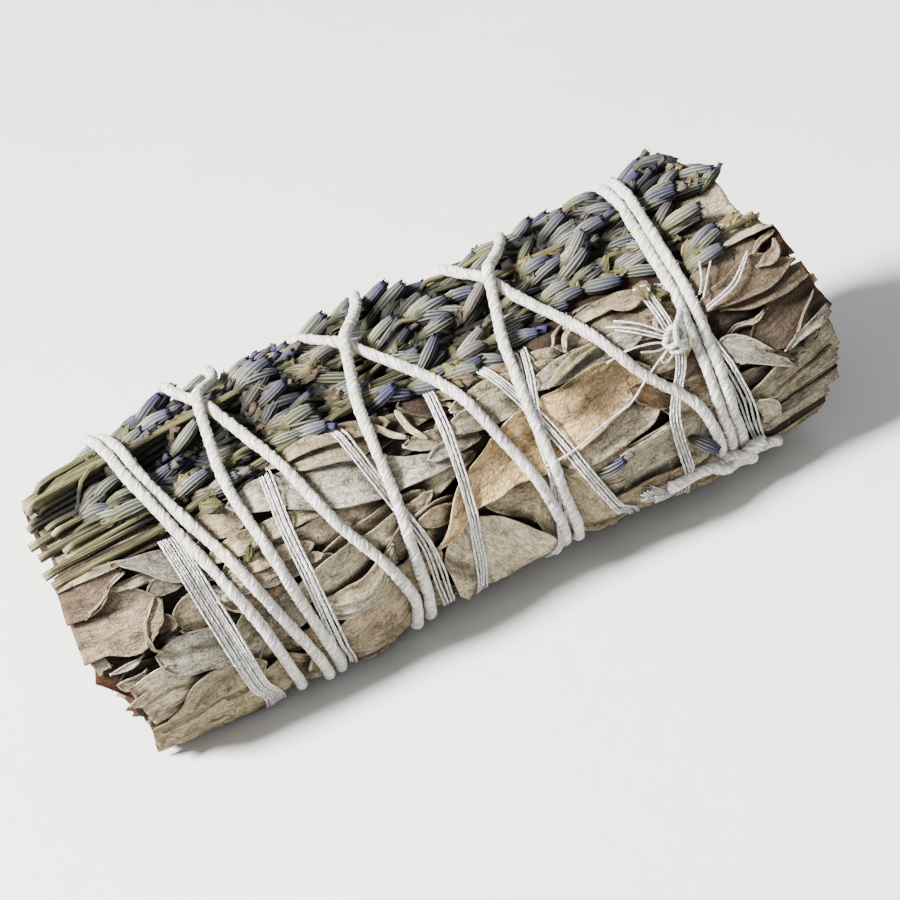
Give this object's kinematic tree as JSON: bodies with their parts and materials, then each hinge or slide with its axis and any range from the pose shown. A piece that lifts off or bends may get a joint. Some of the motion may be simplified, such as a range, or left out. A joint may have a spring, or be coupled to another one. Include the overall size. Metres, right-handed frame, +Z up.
{
  "type": "sage smudge stick",
  "caption": "Bundle of dried white sage leaves with lavender sprigs along its top, bound with thin white thread and wound crosswise with thick cotton twine, lying on its flattened underside",
  "frame": {"origin": "bottom centre of the bundle's box, on the plane it lies on", "axes": "+X along the bundle, from the end with the lavender's cut stems to the end with its flower tips; +Y from the front, where the knots are, to the back; +Z up"},
  "size_m": [0.1142, 0.0484, 0.0465],
  "materials": {
    "sage_leaf": "dry grey-green and beige sage leaf, matt and finely wrinkled",
    "sage_leaf_tan": "dry golden-brown sage leaf, matt",
    "sage_stem": "dark dry sage stems with leaves pressed round them",
    "lavender": "dried lavender: olive stems, ribbed grey-blue calyces, violet flowers and brown bracts",
    "cotton_twine": "off-white three-ply cotton twine, soft and slightly fuzzy",
    "cotton_thread": "bright white thin cotton thread"
  },
  "bodies": {
    "root": {"base_leaf_back": "sage_leaf", "base_leaf_front": "sage_leaf", "base_leaf_middle": "sage_leaf", "binding_thread": "cotton_thread", "binding_twine": "cotton_twine", "inner_sprig_1": "sage_stem", "inner_sprig_2": "sage_stem", "inner_sprig_3": "sage_stem", "inner_sprig_4": "sage_stem", "inner_sprig_5": "sage_stem", "inner_sprig_6": "sage_stem", "lavender_sprig_1": "lavender", "lavender_sprig_10": "lavender", "lavender_sprig_2": "lavender", "lavender_sprig_3": "lavender", "lavender_sprig_4": "lavender", "lavender_sprig_5": "lavender", "lavender_sprig_6": "lavender", "lavender_sprig_7": "lavender", "lavender_sprig_8": "lavender", "lavender_sprig_9": "lavender", "leaf_back_high_left": "sage_leaf", "leaf_back_high_right": "sage_leaf", "leaf_back_low_left": "sage_leaf", "leaf_back_low_right": "sage_leaf", "leaf_back_middle_left": "sage_leaf", "leaf_back_middle_right": "sage_leaf", "leaf_back_over": "sage_leaf", "leaf_end_bottom": "sage_leaf", "leaf_end_high": "sage_leaf", "leaf_end_low": "sage_leaf", "leaf_end_middle": "sage_leaf", "leaf_end_narrow": "sage_leaf", "leaf_golden": "sage_leaf_tan", "leaf_left_bottom": "sage_leaf", "leaf_left_curled": "sage_leaf", "leaf_left_high": "sage_leaf", "leaf_left_low": "sage_leaf", "leaf_left_pointed": "sage_leaf", "leaf_left_wide": "sage_leaf", "leaf_low_round": "sage_leaf", "leaf_low_square": "sage_leaf", "leaf_middle_grey": "sage_leaf", "leaf_middle_low": "sage_leaf", "leaf_middle_slant": "sage_leaf", "leaf_middle_under": "sage_leaf", "leaf_right_crumpled": "sage_leaf", "leaf_right_low": "sage_leaf", "leaf_right_middle": "sage_leaf", "leaf_top_back": "sage_leaf", "leaf_top_front": "sage_leaf", "leaf_top_left": "sage_leaf", "leaf_top_middle": "sage_leaf", "leaf_top_right": "sage_leaf", "thread_knot": "cotton_thread", "twine_knot": "cotton_twine", "wrap_leaf_back": "sage_leaf", "wrap_leaf_front": "sage_leaf"}
  },
  "joints": []
}
